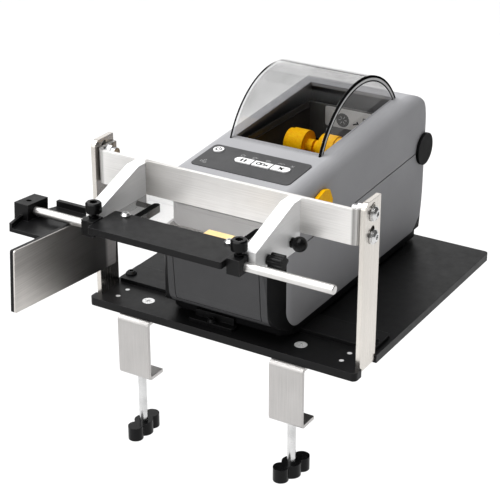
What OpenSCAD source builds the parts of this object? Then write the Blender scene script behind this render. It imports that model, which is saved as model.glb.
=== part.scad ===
// Label applicator: a jig that carries a compact label printer and clamps to a table edge.
// Millimetres. +Z is up, +X is to the operator's right and +Y runs from the operator to the back.
// The origin lies on the table top, below the middle of the base plate's front edge.

/* [Base plate] */
// Width of the base plate
plate_w = 250; // [240:1:320]
// Depth of the base plate
plate_d = 254; // [252:1:320]
// Thickness of the base plate
plate_t = 7; // [6:0.5:12]
// Corner radius of the base plate
plate_r = 4; // [2:0.5:8]
// Height of the rubber feet below the plate
foot_h = 3; // [3:0.5:6]
// Diameter of the rubber feet
foot_d = 14; // [8:1:18]

/* [Posts] */
// Width of a post along the plate's side
post_w = 25; // [24:0.5:30]
// Thickness of a post's flat bar
post_t = 4; // [3:0.5:4.5]
// Height of a post above the plate's underside
post_h = 142.5; // [140:0.5:160]
// Distance of the posts behind the plate's front edge
post_y = 10; // [8:0.5:11]
// Set-back of a post's outer face from the plate's side edge
post_inset = 1.5; // [0.5:0.5:3]
// Radius of a post's front top corner
post_r = 6; // [1:0.5:10]
// Length of a post's foot flange
flange_l = 28; // [25:1:40]

/* [Table clamps] */
// Distance between the two clamps
clamp_span = 145; // [120:1:160]
// Sideways shift of the pair of clamps
clamp_shift = -6; // [-10:0.5:10]
// Width of a clamp bracket
clamp_w = 30; // [24:1:40]
// Thickness of a bracket's sheet
clamp_t = 3; // [2:0.5:3]
// Height of a bracket's web
clamp_web = 54.4; // [50:0.2:70]
// Outer bend radius of a bracket
clamp_r = 4.5; // [4:0.5:7]
// Diameter of a clamp screw
clamp_d = 7; // [6:0.5:8]
// Drop of the left pad below the table top
pad_drop_left = 27.5; // [20:0.5:32]
// Drop of the right pad below the table top
pad_drop_right = 20.5; // [15:0.5:32]

/* [Crossbar] */
// Height of the crossbar strip
bar_h = 28.7; // [26:0.1:32]
// Thickness of the crossbar strip
bar_t = 3; // [2:0.5:4]
// Drop of the crossbar's lower edge below the posts' tops
bar_drop = 34.8; // [33:0.1:36]
// Outer bend radius at the crossbar's ends
bar_r = 7; // [5:0.5:12]
// Length of the crossbar's end flanges
bar_flange = 24; // [22:0.5:24]
// Diameter of the post bolts
bolt_d = 6; // [4:0.5:6]
// Slot length above a post bolt
slot_up = 5.5; // [4:0.5:5.5]
// Slot length below a post bolt
slot_down = 1.5; // [1:0.5:4]

/* [Gussets and clear plate] */
// Sideways shift of the applicator from the plate's middle
applicator_x = -6.5; // [-7:0.5:0]
// Clear width between the gussets
gusset_gap = 129; // [129:1:134]
// Thickness of a gusset
gusset_t = 11; // [9:0.5:13]
// Reach of a gusset in front of the crossbar
gusset_reach = 64; // [62:0.5:80]
// Height of a gusset at the crossbar
gusset_h = 40; // [36:0.5:41]
// Height of a gusset's front face
gusset_nose = 21.5; // [19:0.5:28]
// Length of a gusset's level top
gusset_flat = 9.5; // [6:0.5:16]
// Drop of a gusset below the crossbar
gusset_drop = 13.2; // [12:0.2:14]
// Thickness of the clear plate
clear_t = 6; // [6:0.5:7]

/* [Label table] */
// Width of the label table
table_w = 118; // [110:1:118]
// Depth of the label table
table_d = 36; // [34:0.5:40]
// Thickness of the label table
table_t = 5.5; // [4:0.5:7]
// Reach of the label table in front of the gussets
table_reach = 20.8; // [18:0.2:23]
// Distance of a table screw from the applicator's middle
table_screw_x = 46.5; // [44:0.5:47]

/* [Guide rod and stop] */
// Diameter of the guide rod
rod_d = 7; // [6:0.5:8]
// Length of the guide rod
rod_l = 275; // [265:1:320]
// Distance of the stop's face left of the plate's middle
stop_x = 91.8; // [91.8:0.2:120]
// Length of the stop plate
stop_l = 126; // [110:1:130]
// Height of the stop plate
stop_h = 49.5; // [40:0.5:60]
// Upward tilt of the stop towards the operator
stop_tilt = 4.4; // [2:0.2:12]

/* [Printer] */
// Width of the printer
printer_w = 115; // [114:0.5:116]
// Height of the seam's pivot above the plate
hinge_rise = 85.9; // [84:0.1:88]
// Height of the lid's front top edge above the plate
lid_rise = 123.3; // [120:0.1:126]
// Slope of the lid's top
lid_slope = 4.2; // [3:0.1:5]
// Radius of the lid's long top edges
crown_r = 12; // [8:0.5:14]
// Wall thickness of the lid
lid_wall = 3; // [2.5:0.1:3.5]
// Height of the media window above the lid
window_h = 40; // [32:0.5:44]
// Sideways travel of a roll holder
roll_travel = 14; // [8:0.5:15]

/* [Hidden] */
$fn = 64;

// Clearances: seated pieces, pieces that move past each other, shafts in bores (radial)
seat = 0.05;
gap = 0.3;
run = 0.06;

// Colours
black = [0.05, 0.05, 0.055];
steel = [0.72, 0.71, 0.68];
alu = [0.86, 0.86, 0.86];
lid_grey = [0.62, 0.62, 0.64];
side_grey = [0.42, 0.42, 0.43];
dark_grey = [0.2, 0.2, 0.21];
yellow = [0.95, 0.7, 0.05];
white = [0.92, 0.92, 0.92];
clear = [0.85, 0.9, 0.92, 0.35];
smoke = [0.35, 0.37, 0.38, 0.45];
amber = [0.85, 0.5, 0.1];
rubber = [0.08, 0.08, 0.08];

// Levels and planes of the plate and posts
plate_z = foot_h;
plate_top = plate_z + plate_t;
post_out = plate_w / 2 - post_inset;
post_in = post_out - post_t;
post_mid = post_y + post_w / 2;
flange_screw_x = post_out - 18;
flange_screw_y = [post_y + 4, post_y + 17.5];
flange_screw_d = 4;
flange_screw_head = 8;

// Table clamps
clamp_face = -4;
clamp_bottom = plate_z - clamp_web;
clamp_top_l = 36;
clamp_lip_l = 20;
clamp_screw_y = 7;
clamp_csk_y = 19.5;
csk_d = 5;
csk_head = 10.5;
bush_d = 14;
bush_h = 7;
bush_spigot = 10;
pad_d = 10;
pad_h = 5;
pad_bore = 3;
neck_d = 4;
clamp_screw_l = 65;
knob_h = 12;
knob_grip = 9;
wing_d = 13;
wing_pitch = 12;
hub_d = 16;
knob_turn_left = 90;
knob_turn_right = 75;

// Printer bar and clip on the plate
strap_y = 37.5;
strap_d = 29;
strap_t = 3.5;
strap_w = plate_w - 8;
strap_bolt_x = plate_w / 2 - 9;
strap_bolt_y = 48;
stud_d = 5;
stud_head = 9.5;
stud_head_h = 3;
clip_x = -11;
clip_w = 42;
clip_y = 8.5;
clip_d = 9;
clip_t = 2.5;
clip_lip = 8;
clip_bolt_y = 11.4;

// Crossbar
bar_y = post_y + 0.7;
bar_z = plate_z + post_h - bar_drop;
bar_back = bar_y + bar_t;
bar_x = post_in - 0.2;
bolt_edge = 5.1;
bolt_z = [bar_z + bolt_edge, bar_z + bar_h - bolt_edge];
washer_d = 12;
washer_t = 1.2;
bolt_head = 10.5;
bolt_head_h = 2.6;
nut_af = 11.5;
nut_h = 5;
nut_cap_d = 9;
nut_cap_h = 4;

// Gussets and clear plate
gusset_z = bar_z - gusset_drop;
gusset_front = bar_y - gusset_reach;
gusset_out = gusset_gap / 2 + gusset_t;
gusset_cut = [14, 8];
gusset_screw_z = [gusset_z + gusset_drop + 7, gusset_z + gusset_h - 7];
gusset_screw_d = 5;
gusset_screw_l = 14;
clear_top = bar_z - gap;
clear_z = clear_top - clear_t;
clear_mid = clear_top - clear_t / 2;
clear_front = gusset_front + 1;
clear_back = bar_back + 0.8;
table_slot_w = 6;
table_slot_front = clear_front + 3.5;
table_slot_back = bar_y - 12.5;
knob_rear_y = bar_y - 12.4;
knob_front_y = bar_y - 47;
knob_stud_d = 4;
knob_stud_in = 12;
collar_d = 8;
collar_h = 3;
ball_d = 12;
ball_off = 0.6;
star_d = 12.6;
star_h = 11;
star_low_h = 6.4;
star_lobe = 4.2;
strip_x = 26;
strip_w = 23;
strip_d = 9;
strip_y = -29;
strip_t = 0.25;

// Label table and rod blocks
table_z = clear_top + gap;
table_top = table_z + table_t;
table_front = gusset_front - table_reach;
table_screw_d = 4;
table_screw_y = table_front + table_d - 4;
table_screw_head = 8;
table_screw_head_h = 2.6;
table_nut_h = 3.2;
rod_y = gusset_front - rod_d / 2 - 1.1;
rod_sink = 2.1;
rod_z = table_z - rod_d / 2 + rod_sink;
rod_left = -139;
block_w = 11;
block_front = rod_y - 9;
block_back = gusset_front - 1;
block_z = rod_z - 5;
block_top = table_top + 0.8;
boss_d = rod_d + 2.6;
boss_l = 6;
rod_knob_d = 12.5;
rod_knob_h = 8;
rod_knob_edge = 1;
rod_knob_hex = [6.5, 3];
rod_knob_z = block_top + 4.5;
jam_d = 8.6;
jam_h = 1.6;

// Stop carriage, measured from the rod's axis
stop_face_t = 1.2;
stop_wall_t = 3;
stop_top = -3.5;
stop_front = -69.4;
tray_floor = -9;
tray_t = 3;
tray_front = -29;
tray_back = 34;
tray_left = 135;
stop_block_w = 13.5;
stop_block_left = 141;
stop_block_front = -9.6;
stop_block_back = 15;
stop_block_top = 7;
rim_t = 2.5;
rim_h = 4;
rail_right = 101;
rail_h = 5;
set_screw_d = 4.5;

// Printer planes
printer_front = -1;
printer_rear = 260;
rear_lean = 10;
heel_l = 13;
heel_slope = 0.8;
plan_over = 1;
printer_foot_h = strap_t + 0.1;
printer_foot_d = 11;
printer_z = plate_top + printer_foot_h;
skirt_h = 7;
body_z = printer_z + skirt_h;
skirt_front = 18;
skirt_r = 14;
skirt_in = 0.5;
front_r = 24;
rear_r = 9;
skin_t = 2.6;
chin_r = 17.5;
chin_steps = 8;
chin = [20, body_z + chin_r];
hinge_y = printer_rear - 9.5;
hinge_z = plate_top + hinge_rise;
seam_slope = 0.0405;
seam_gap = 0.5;
lid_front = 18.5;
bezel_top = seam_z(lid_front) - 2;
panel_front = 14;
panel_r = 18;
bezel_half = 46;
bezel_t = 5.5;
bezel_z = body_z + 5;
door_half = 39.5;
door_t = 2.2;
door_z = body_z + 9.5;
door_top = bezel_top - 5;
door_gap = 0.6;
tub_front = 70;
tub_back = printer_rear - 36;
tub_floor = plate_top + 32;
groove_r = 11.5;
barrel_r = 11;
pin_d = 6;
ear_r = 4.6;
ear_in = 38;
ear_out = 46;
cap_d = 29;
cap_t = 2.5;
port_half = 25;
port_z = body_z + 10;
port_h = 20;
port_y = rear_y(port_z);
port_d = 6;
inlet_d = 6;
inlet_x = -14;
socket = [12, 11];

// Drive
platen = [30, 79];
platen_d = 14;
platen_x = [-43, 48];
shaft_d = 6;
shaft_half = 53;
gear_x = -50;
gear_w = 4;
tooth = 0.8;
platen_teeth = 22;
pinion_teeth = 17;
mesh = tooth * (platen_teeth + pinion_teeth) / 2 + 0.15;
mesh_angle = -50;
pinion = platen + mesh * [cos(mesh_angle), sin(mesh_angle)];
pinion_shaft_d = 2.4;
motor_d = 15;
motor_l = 22;
motor_x = gear_x + gear_w + 0.5;

// Roll holders
roll_y = 159;
roll_z = 116;
roll_hub_d = 26;
roll_hub = [7, 21];
roll_tip = 1;
roll_tip_d = 12;
roll_arm_t = 4;
roll_arm_w = 24;
roll_foot = [20, 30];
roll_foot_h = 6;
tub_half = roll_foot[1] + roll_travel + 2;

// Lid
lid_z = plate_top + lid_rise;
lid_front_r = 16;
lid_rear_r = 9;
lid_edge_r = 10;
lid_back_r = 22;
lid_lean = 12;
lid_steps = 10;
crown_over = 0.15;
barrel_in = 1.4;
bay_half = 40;
bay = [96, printer_rear - 38];
bay_rim = 4;
window_half = 42;
window = [bay[0] - bay_rim, bay[1] + bay_rim];
window_t = 2;
window_mid = (window[0] + window[1]) / 2;
window_chord = window[1] - window[0];
window_r = (pow(window_chord / 2, 2) + pow(window_h, 2)) / (2 * window_h);
window_z = lid_top(window_mid) + window_h - window_r;
ui_y = 54;
ui_w = 90;
ui_d = 40;
ui_t = 1.2;
ui_sink = 0.6;
power_x = -37;
power_s = 11;
power_d = 9;
pill = [15.8, 8];
pill_x = [-8, 9, 26];
pill_s = 2;
button_low = -2.6;
button_top = 1.4;
button_gap = 0.25;
latch_t = 3.2;
latch_x = printer_w / 2 + gap;
latch_stem = [8, 4];
latch_y = 43.5;
latch_z = 101;
latch_stem_y = latch_y + 16;
latch_stem_z = latch_z + 7;
latch_travel = 5;
head_half = 41;
head_back = 36;
head_z = platen[1] + platen_d / 2 + 0.6;
head_h = 10;

// Height of the seam between lid and base at a distance y
function seam_z(y) = hinge_z + seam_slope * (y - hinge_y);
// Distance of the lower body's leaning back at a height z
function rear_y(z) = printer_rear - rear_lean * (hinge_z - z) / (hinge_z - body_z);
// Height of the lid's top plane at a distance y
function lid_top(y) = lid_z + tan(lid_slope) * (y - lid_front);
// Centre of the lid's rounded back, which touches its sloping top and its leaning back
function lid_back() =
    let (
        fall = lid_back_r / cos(lid_slope),
        level = lid_z - tan(lid_slope) * lid_front - fall - seam_z(printer_rear) - seam_gap,
        reach = printer_rear - tan(lid_lean) * level - lid_back_r / cos(lid_lean),
        y = reach / (1 + tan(lid_lean) * tan(lid_slope))
    )
    [y, lid_top(y) - fall];
// Point where the line from p touches the circle of radius r about c, on its outer side
function touch(p, c, r) =
    let (d = norm(c - p), l = sqrt(d * d - r * r), a = atan2(c[1] - p[1], c[0] - p[0]) - asin(r / d))
    p + l * [cos(a), sin(a)];
// Unit vector at an angle
function unit(a) = [cos(a), sin(a)];
// Middle of a clamp, by side (-1 left, 1 right)
function clamp_x(side) = clamp_shift + side * clamp_span / 2;
// Top of a clamp's pad, by side
function pad_z(side) = side < 0 ? -pad_drop_left : -pad_drop_right;

// Draws its children and their mirror image
module both() {
    children();
    mirror([1, 0, 0]) children();
}

// Extrudes a (y, z) outline along +X
module along_x(len, center = false) {
    rotate([90, 0, 90]) linear_extrude(len, center = center) children();
}

// Extrudes an (x, z) outline along +Y
module along_y(len) {
    rotate([90, 0, 0]) mirror([0, 0, 1]) linear_extrude(len) children();
}

// Cylinder along +X
module shaft_x(d, len) {
    rotate([0, 90, 0]) cylinder(d = d, h = len);
}

// Cylinder along +Y
module shaft_y(d, len) {
    rotate([-90, 0, 0]) cylinder(d = d, h = len);
}

// Centred rectangle with round corners
module round_rect(w, d, r) {
    square([w - 2 * r, d], center = true);
    square([w, d - 2 * r], center = true);
    for (x = [-1, 1], y = [-1, 1]) {
        translate([x * (w / 2 - r), y * (d / 2 - r)]) circle(r);
    }
}

// Outline symmetric in x, with its own radius for the front and the rear corners
module plan(w, front, rear, rf, rr) {
    translate([-w / 2, front + rf]) square([w, rear - front - rf - rr]);
    translate([rf - w / 2, front]) square([w - 2 * rf, rf + 1]);
    translate([rr - w / 2, rear - rr - 1]) square([w - 2 * rr, rr + 1]);
    for (s = [-1, 1]) {
        translate([s * (w / 2 - rf), front + rf]) circle(rf);
        translate([s * (w / 2 - rr), rear - rr]) circle(rr);
    }
}

// Vertical slot around the origin
module slot(down, up, w) {
    translate([-w / 2, -down]) square([w, down + up]);
    translate([0, -down]) circle(d = w);
    translate([0, up]) circle(d = w);
}

// Bent channel that opens towards +x, with its web on x = 0
module channel(top, web, lip, t, r) {
    difference() {
        union() {
            translate([0, r]) square([t, web - 2 * r]);
            translate([r, web - t]) square([top - r, t]);
            translate([r, 0]) square([lip - r, t]);
            for (v = [r, web - r]) {
                translate([r, v]) circle(r);
            }
        }
        for (v = [r, web - r]) {
            translate([r, v]) circle(r - t);
        }
        translate([t, r]) square([2 * r, web - 2 * r]);
        translate([r, t]) square([2 * r, web - 2 * t]);
    }
}

// Star grip outline with round lobes
module star(d, lobe, count) {
    circle(d = d - lobe * 0.8);
    for (i = [0:count - 1]) {
        rotate(i * 360 / count) translate([(d - lobe) / 2, 0]) circle(d = lobe);
    }
}

// Base plate with notches for the posts and pockets for their flanges
module base_plate() {
    color(black) difference() {
        translate([0, plate_d / 2, plate_z]) linear_extrude(plate_t) round_rect(plate_w, plate_d, plate_r);
        both() {
            translate([post_in - seat, post_y - seat, 0]) {
                cube([plate_w, post_w + 2 * seat, plate_top + 1]);
            }
            translate([post_out - flange_l - seat, post_y - seat, 0]) {
                cube([flange_l, post_w + 2 * seat, plate_z + post_t + seat]);
            }
            for (y = flange_screw_y) {
                translate([flange_screw_x, y, 0]) {
                    cylinder(d = flange_screw_d + 2 * seat, h = plate_top + 1);
                }
            }
            translate([strap_bolt_x, strap_bolt_y, 0]) cylinder(d = stud_d + 2 * seat, h = plate_top + 1);
        }
        translate([clip_x, clip_bolt_y, 0]) cylinder(d = stud_d + 2 * seat, h = plate_top + 1);
        for (s = [-1, 1]) {
            translate([clamp_x(s), clamp_csk_y, 0]) {
                cylinder(d = csk_d + 2 * seat, h = plate_top + 1);
                translate([0, 0, plate_top - 3]) {
                    cylinder(d1 = csk_d + 2 * seat, d2 = csk_head + 2 * seat, h = 3);
                }
            }
        }
    }
}

// Feet under the plate and under the printer
module rubber_feet() {
    color(rubber) {
        both() {
            for (y = [56, plate_d - 18]) {
                translate([plate_w / 2 - 20, y, 0]) cylinder(d1 = foot_d - 2, d2 = foot_d, h = plate_z);
            }
            for (y = [29, printer_rear - 24]) {
                translate([printer_w / 2 - 15, y, plate_top]) {
                    cylinder(d = printer_foot_d, h = printer_foot_h);
                }
            }
        }
    }
}

// Section of a post: an upright with a flange bent inwards at its foot
module post_section() {
    r = post_t;
    difference() {
        union() {
            translate([post_in, 0]) square([post_t, post_h]);
            translate([post_out - flange_l, 0]) square([flange_l, post_t]);
        }
        translate([post_out - r, 0]) square(r);
    }
    translate([post_out - r, r]) intersection() {
        circle(r);
        translate([0, -r]) square(r);
    }
}

// Side view of a post
module post_outline() {
    difference() {
        square([post_w, post_h]);
        translate([0, post_h - post_r]) square(post_r);
    }
    translate([post_r, post_h - post_r]) circle(post_r);
}

// Right post
module post() {
    difference() {
        intersection() {
            translate([0, post_y, plate_z]) along_x(plate_w) post_outline();
            translate([0, post_y, plate_z]) along_y(post_w) post_section();
        }
        for (z = bolt_z) {
            translate([post_in - 1, post_mid, z]) {
                along_x(post_t + 2) slot(slot_down, slot_up, bolt_d + 0.4);
            }
        }
        for (y = flange_screw_y) {
            translate([flange_screw_x, y, plate_z - seat]) {
                cylinder(d1 = flange_screw_head + 2 * seat, d2 = flange_screw_d + 2 * seat, h = 2);
                cylinder(d = flange_screw_d + 2 * seat, h = post_t + 1);
            }
        }
    }
}

module post_right() {
    color(steel) post();
}

module post_left() {
    color(steel) mirror([1, 0, 0]) post();
}

// Countersunk screw, head up, with a cross recess
module csk_screw(d, head, head_h, len) {
    difference() {
        union() {
            translate([0, 0, -len]) cylinder(d = d, h = len);
            translate([0, 0, -head_h]) cylinder(d1 = d, d2 = head, h = head_h);
        }
        for (a = [0, 90]) {
            rotate(a) translate([-head * 0.28, -0.55, -1.4]) cube([head * 0.56, 1.1, 2]);
        }
    }
}

// Countersunk screws of the post flanges, from below, and of the clamp brackets, from above
module plate_screws() {
    color(steel) {
        both() {
            for (y = flange_screw_y) {
                translate([flange_screw_x, y, plate_z]) mirror([0, 0, 1]) {
                    csk_screw(flange_screw_d, flange_screw_head, 2, plate_t - 0.2);
                }
            }
        }
        for (s = [-1, 1]) {
            translate([clamp_x(s), clamp_csk_y, plate_top]) {
                csk_screw(csk_d, csk_head, 3, plate_t + clamp_t);
            }
        }
    }
}

// Flat strap that holds the printer's front on the plate
module printer_bar() {
    color(steel) difference() {
        translate([0, strap_y + strap_d / 2, plate_top]) {
            linear_extrude(strap_t) round_rect(strap_w, strap_d, 2);
        }
        both() {
            translate([strap_bolt_x, strap_bolt_y, plate_top - 1]) {
                cylinder(d = stud_d + 2 * seat, h = strap_t + 2);
            }
        }
    }
}

// Button-head bolt, head up, seated at z = 0
module button_bolt(d, head, head_h, len) {
    difference() {
        union() {
            translate([0, 0, -len]) cylinder(d = d, h = len + 0.5);
            cylinder(d = head, h = head_h * 0.4);
            translate([0, 0, head_h * 0.4]) cylinder(d1 = head, d2 = head * 0.62, h = head_h * 0.6);
        }
        translate([0, 0, head_h * 0.45]) cylinder(d = head * 0.42, h = head_h, $fn = 6);
    }
}

// Bolts of the strap and of the front clip
module plate_bolts() {
    color(black) {
        both() {
            translate([strap_bolt_x, strap_bolt_y, plate_top + strap_t]) {
                button_bolt(stud_d, stud_head, stud_head_h, strap_t + plate_t);
            }
        }
        translate([clip_x, clip_bolt_y, plate_top + clip_t]) {
            button_bolt(stud_d, stud_head - 2, stud_head_h, clip_t + plate_t);
        }
    }
}

// Low clip that the printer's skirt butts against
module front_clip() {
    color(black) difference() {
        translate([clip_x, 0, plate_top]) {
            translate([0, clip_y + clip_d / 2, 0]) linear_extrude(clip_t) round_rect(clip_w, clip_d, 2);
            translate([-clip_w / 2 + 3, clip_y + clip_d - 2, 0]) cube([clip_w - 6, 2, clip_lip]);
        }
        translate([clip_x, clip_bolt_y, plate_top - 1]) cylinder(d = stud_d + 2 * seat, h = clip_t + 2);
    }
}

// Bent bracket of a clamp
module clamp_bracket(side) {
    color(steel) translate([clamp_x(side), 0, 0]) difference() {
        translate([0, clamp_face, clamp_bottom]) along_x(clamp_w, center = true) {
            channel(clamp_top_l, clamp_web, clamp_lip_l, clamp_t, clamp_r);
        }
        translate([0, clamp_csk_y, plate_z - clamp_t - 1]) cylinder(d = csk_d + 2 * seat, h = clamp_t + 2);
        translate([0, clamp_screw_y, clamp_bottom - 1]) {
            cylinder(d = bush_spigot + 2 * seat, h = clamp_t + 2);
        }
    }
}

module clamp_bracket_left() {
    clamp_bracket(-1);
}

module clamp_bracket_right() {
    clamp_bracket(1);
}

// Threaded bushes pressed into the lower flanges
module clamp_bushes() {
    color(steel) for (s = [-1, 1]) {
        translate([clamp_x(s), clamp_screw_y, clamp_bottom]) difference() {
            union() {
                cylinder(d = bush_spigot, h = clamp_t + 1);
                translate([0, 0, clamp_t]) cylinder(d = bush_d, h = bush_h);
            }
            translate([0, 0, -1]) cylinder(d = clamp_d + 2 * run, h = clamp_t + bush_h + 2);
        }
    }
}

// Swivel pad on a clamp screw's end
module clamp_pad(side) {
    color(black) translate([clamp_x(side), clamp_screw_y, pad_z(side) - pad_h]) difference() {
        cylinder(d = pad_d, h = pad_h);
        translate([0, 0, -1]) cylinder(d = neck_d + 2 * run, h = pad_bore + 1);
    }
}

module clamp_pad_left() {
    clamp_pad(-1);
}

module clamp_pad_right() {
    clamp_pad(1);
}

// Clamp screw with a neck that turns in the pad
module clamp_screw(side) {
    color(steel) translate([clamp_x(side), clamp_screw_y, pad_z(side) - pad_h - gap]) {
        translate([0, 0, -clamp_screw_l - knob_grip]) cylinder(d = clamp_d, h = clamp_screw_l + knob_grip);
        translate([0, 0, -1]) cylinder(d = neck_d, h = pad_bore + 1);
    }
}

module clamp_screw_left() {
    clamp_screw(-1);
}

module clamp_screw_right() {
    clamp_screw(1);
}

// Two-lobed knob on a clamp screw
module clamp_knob(side, turn) {
    color(black) translate([clamp_x(side), clamp_screw_y, pad_z(side) - pad_h - gap - clamp_screw_l]) {
        rotate(turn) difference() {
            translate([0, 0, -knob_h]) linear_extrude(knob_h) {
                circle(d = hub_d);
                square([2 * wing_pitch, wing_d * 0.7], center = true);
                for (s = [-1, 1]) {
                    translate([s * wing_pitch, 0]) circle(d = wing_d);
                }
            }
            translate([0, 0, -knob_grip - seat]) cylinder(d = clamp_d + 2 * seat, h = knob_grip + 1);
        }
    }
}

module clamp_knob_left() {
    clamp_knob(-1, knob_turn_left);
}

module clamp_knob_right() {
    clamp_knob(1, knob_turn_right);
}

// Crossbar: a strip with both ends bent back along the posts
module crossbar() {
    color(steel) difference() {
        translate([0, bar_y, bar_z]) linear_extrude(bar_h) rotate(90) translate([0, -bar_x]) {
            channel(bar_flange, 2 * bar_x, bar_flange, bar_t, bar_r);
        }
        for (z = bolt_z) {
            translate([-bar_x - 1, post_mid, z]) shaft_x(bolt_d + 2 * seat, 2 * bar_x + 2);
        }
        translate([applicator_x, bar_y - 1, 0]) both() {
            for (z = gusset_screw_z) {
                translate([gusset_gap / 2 + gusset_t / 2, 0, z]) {
                    shaft_y(gusset_screw_d + 2 * seat, bar_t + 2);
                }
            }
        }
    }
}

// Bolts that hold the crossbar in the posts' slots, each with a washer
module crossbar_bolts() {
    color(steel) both() for (z = bolt_z) {
        translate([post_out + 0.2, post_mid, z]) {
            rotate([0, 90, 0]) difference() {
                cylinder(d = washer_d, h = washer_t);
                translate([0, 0, -1]) cylinder(d = bolt_d + 2 * seat, h = washer_t + 2);
            }
            translate([washer_t, 0, 0]) rotate([0, 90, 0]) {
                button_bolt(bolt_d, bolt_head, bolt_head_h, post_out - bar_x + bar_t + nut_h + washer_t + 1);
            }
        }
    }
}

// Sleeve nuts with a closed cap inside the crossbar's flanges
module crossbar_nuts() {
    color(dark_grey) both() for (z = bolt_z) {
        translate([bar_x - bar_t, post_mid, z]) rotate([0, -90, 0]) difference() {
            union() {
                cylinder(d = nut_af, h = nut_h, $fn = 6);
                cylinder(d = nut_cap_d, h = nut_h + nut_cap_h);
            }
            translate([0, 0, -1]) cylinder(d = bolt_d + 2 * seat, h = nut_h + 3);
        }
    }
}

// Right gusset in the applicator's own frame
module gusset() {
    color(alu) difference() {
        translate([gusset_gap / 2, 0, 0]) along_x(gusset_t) polygon([
            [bar_y, gusset_z],
            [bar_y, gusset_z + gusset_h],
            [bar_y - gusset_flat, gusset_z + gusset_h],
            [gusset_front, gusset_z + gusset_nose],
            [gusset_front, gusset_z + gusset_cut[1]],
            [gusset_front + gusset_cut[0], gusset_z]
        ]);
        for (y = [knob_front_y, knob_rear_y]) {
            translate([gusset_gap / 2 - 1, y, clear_mid]) shaft_x(knob_stud_d + 2 * gap, gusset_t + 2);
        }
        for (z = gusset_screw_z) {
            translate([gusset_gap / 2 + gusset_t / 2, bar_y - gusset_screw_l, z]) {
                shaft_y(gusset_screw_d + 2 * seat, gusset_screw_l + 1);
            }
        }
    }
}

module gusset_right() {
    translate([applicator_x, 0, 0]) gusset();
}

module gusset_left() {
    translate([applicator_x, 0, 0]) mirror([1, 0, 0]) gusset();
}

// Screws through the crossbar into the gussets
module gusset_screws() {
    color(steel) translate([applicator_x, bar_back, 0]) both() for (z = gusset_screw_z) {
        translate([gusset_gap / 2 + gusset_t / 2, 0, z]) rotate([-90, 0, 0]) {
            button_bolt(gusset_screw_d, stud_head, 2.6, bar_t + gusset_screw_l - 1);
        }
    }
}

// Clear plate between the gussets, with slots for the table screws
module clear_plate() {
    half = gusset_gap / 2 - seat;
    color(clear) translate([applicator_x, 0, 0]) difference() {
        translate([-half, clear_front, clear_z]) cube([2 * half, clear_back - clear_front, clear_t]);
        for (s = [-1, 1]) {
            translate([s * table_screw_x, table_slot_front, clear_z - 1]) linear_extrude(clear_t + 2) {
                slot(0, table_slot_back - table_slot_front, table_slot_w);
            }
        }
        both() {
            for (y = [knob_front_y, knob_rear_y]) {
                translate([gusset_gap / 2 - knob_stud_in - 1, y, clear_mid]) {
                    shaft_x(knob_stud_d + 2 * run, knob_stud_in + 2);
                }
            }
        }
    }
}

// Amber strip on the clear plate behind the label table
module amber_strip() {
    color(amber) translate([applicator_x + strip_x - strip_w / 2, strip_y, clear_top]) {
        cube([strip_w, strip_d, strip_t]);
    }
}

// Stud and collar of a right-hand knob that screws into the clear plate's edge
module plate_stud(y) {
    translate([gusset_gap / 2 - knob_stud_in, y, clear_mid]) {
        shaft_x(knob_stud_d, knob_stud_in + gusset_t + 6);
    }
    translate([gusset_out + gap, y, clear_mid]) shaft_x(collar_d, collar_h);
}

// Front knob with a star grip of a given height
module plate_knob_front(h) {
    color(black) {
        plate_stud(knob_front_y);
        translate([gusset_out + gap + collar_h - 0.5, knob_front_y, clear_mid]) {
            along_x(h) star(star_d, star_lobe, 5);
        }
    }
}

// Rear knob with a ball grip
module plate_knob_rear() {
    color(black) {
        plate_stud(knob_rear_y);
        translate([gusset_out + gap + ball_off + ball_d / 2, knob_rear_y, clear_mid]) sphere(d = ball_d);
    }
}

module plate_knob_front_right() {
    translate([applicator_x, 0, 0]) plate_knob_front(star_h);
}

// The left knob is low, to stay clear of the stop plate
module plate_knob_front_left() {
    translate([applicator_x, 0, 0]) mirror([1, 0, 0]) plate_knob_front(star_low_h);
}

module plate_knob_rear_right() {
    translate([applicator_x, 0, 0]) plate_knob_rear();
}

module plate_knob_rear_left() {
    translate([applicator_x, 0, 0]) mirror([1, 0, 0]) plate_knob_rear();
}

// Label table on the clear plate
module label_table() {
    color(black) translate([applicator_x, 0, table_z]) difference() {
        translate([0, table_front + table_d / 2, 0]) {
            linear_extrude(table_t) round_rect(table_w, table_d, 1.5);
        }
        for (s = [-1, 1]) {
            translate([s * table_screw_x, table_screw_y, -1]) {
                cylinder(d = table_screw_d + 2 * seat, h = table_t + 2);
            }
        }
        translate([-table_w, rod_y, rod_z - table_z]) shaft_x(rod_d + 2 * gap, 2 * table_w);
    }
}

// Table screws through the clear plate's slots, with nuts below
module table_screws() {
    reach = table_top - clear_z + gap + table_nut_h;
    color(steel) translate([applicator_x, table_screw_y, 0]) for (s = [-1, 1]) {
        translate([s * table_screw_x, 0, table_top]) {
            button_bolt(table_screw_d, table_screw_head, table_screw_head_h, reach);
            translate([0, 0, -reach]) difference() {
                cylinder(d = 8, h = table_nut_h, $fn = 6);
                translate([0, 0, -1]) cylinder(d = table_screw_d + 2 * seat, h = table_nut_h + 2);
            }
        }
    }
}

// Right block that carries the guide rod at the table's end
module rod_block() {
    color(black) difference() {
        union() {
            translate([table_w / 2 + seat, block_front, block_z]) {
                cube([block_w, block_back - block_front, block_top - block_z]);
            }
            intersection() {
                translate([table_w / 2 - boss_l, rod_y, rod_z]) shaft_x(boss_d, boss_l + 1);
                translate([0, block_front, 0]) cube([table_w, table_d, table_z]);
            }
        }
        translate([0, rod_y, rod_z]) shaft_x(rod_d + 2 * run, table_w);
        translate([table_w / 2 + block_w / 2, rod_y, rod_z]) {
            cylinder(d = knob_stud_d + 2 * run, h = table_w);
        }
    }
}

module rod_block_right() {
    translate([applicator_x, 0, 0]) rod_block();
}

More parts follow.
